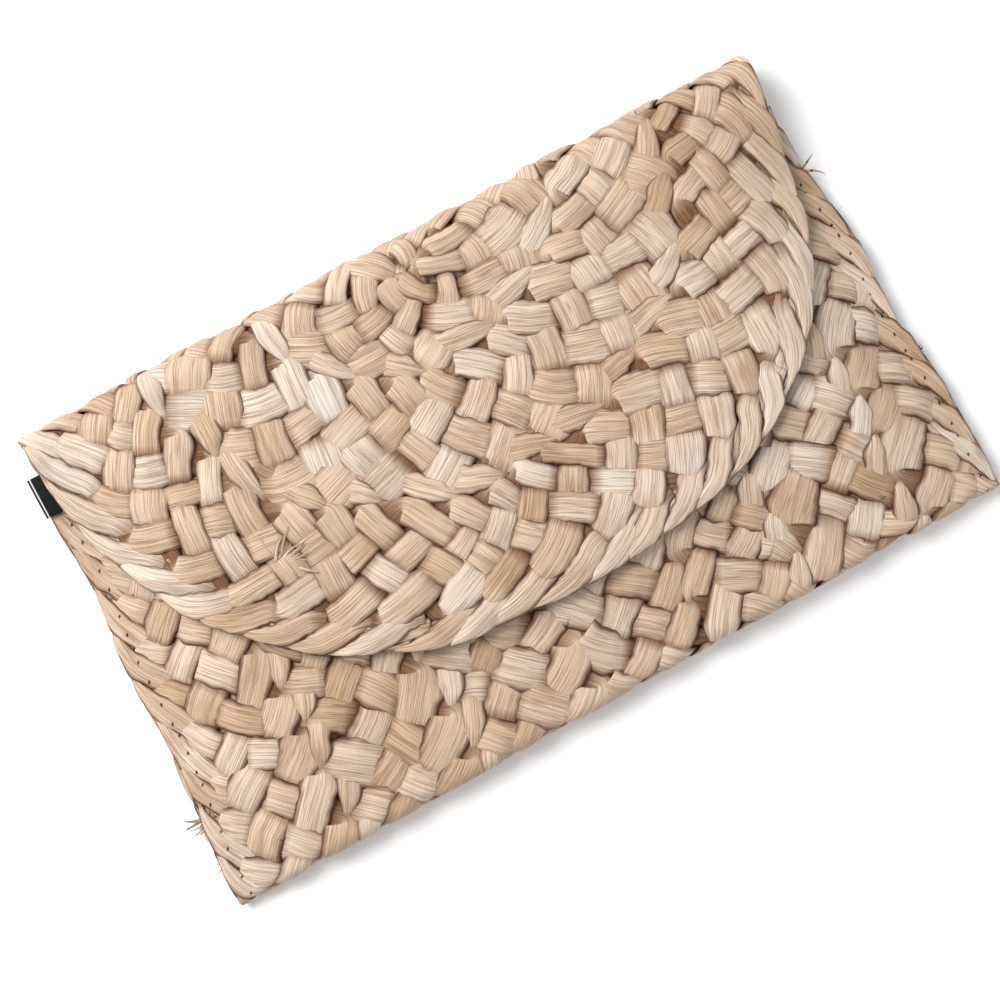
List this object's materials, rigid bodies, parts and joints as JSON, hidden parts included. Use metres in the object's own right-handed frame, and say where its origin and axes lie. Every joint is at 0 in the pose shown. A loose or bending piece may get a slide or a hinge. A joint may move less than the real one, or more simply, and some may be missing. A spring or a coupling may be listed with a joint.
{
  "type": "envelope clutch purse",
  "caption": "Flat woven straw envelope clutch with a rounded fold-over flap, plaited edge, fabric lining and a hidden magnetic snap.",
  "frame": {"origin": "middle of the bottom of the closed purse's box, lying on its back", "axes": "+X to the right across the front, +Y towards the top fold, +Z out of the front and flap"},
  "size_m": [0.316, 0.186, 0.0225],
  "materials": {
    "plaited_straw": "dry corn-husk plait, cream to tan, matt with a faint sheen along the fibres",
    "edge_straw": "smoother, paler corn-husk edge plait, sewn down",
    "cotton_lining": "plain-weave cotton, natural",
    "nickel_snap": "nickel-plated steel",
    "woven_tape": "black woven ribbon with a fine pale edge"
  },
  "bodies": {
    "pouch": {"body_course_1": "plaited_straw", "body_course_2": "plaited_straw", "body_course_3": "plaited_straw", "body_course_4": "plaited_straw", "body_course_5": "plaited_straw", "body_course_6": "plaited_straw", "body_course_7": "plaited_straw", "mouth_border": "edge_straw", "side_border_left": "edge_straw", "side_border_right": "edge_straw", "pouch_lining": "cotton_lining", "inner_pocket": "cotton_lining", "snap_socket": "nickel_snap", "snap_socket_washer": "nickel_snap", "label_tab": "woven_tape"},
    "flap": {"flap_course_centre": "plaited_straw", "flap_course_inner": "plaited_straw", "flap_course_middle": "plaited_straw", "flap_course_outer": "plaited_straw", "flap_border": "edge_straw", "flap_lining": "cotton_lining", "snap_stud": "nickel_snap", "snap_stud_washer": "nickel_snap"}
  },
  "joints": [
    {"name": "flap_fold", "type": "hinge", "parent": "pouch", "child": "flap", "pos_m": [0, 0.0933, 0.01125], "axis": [-1, 0, 0], "range_deg": [0, 175]}
  ]
}
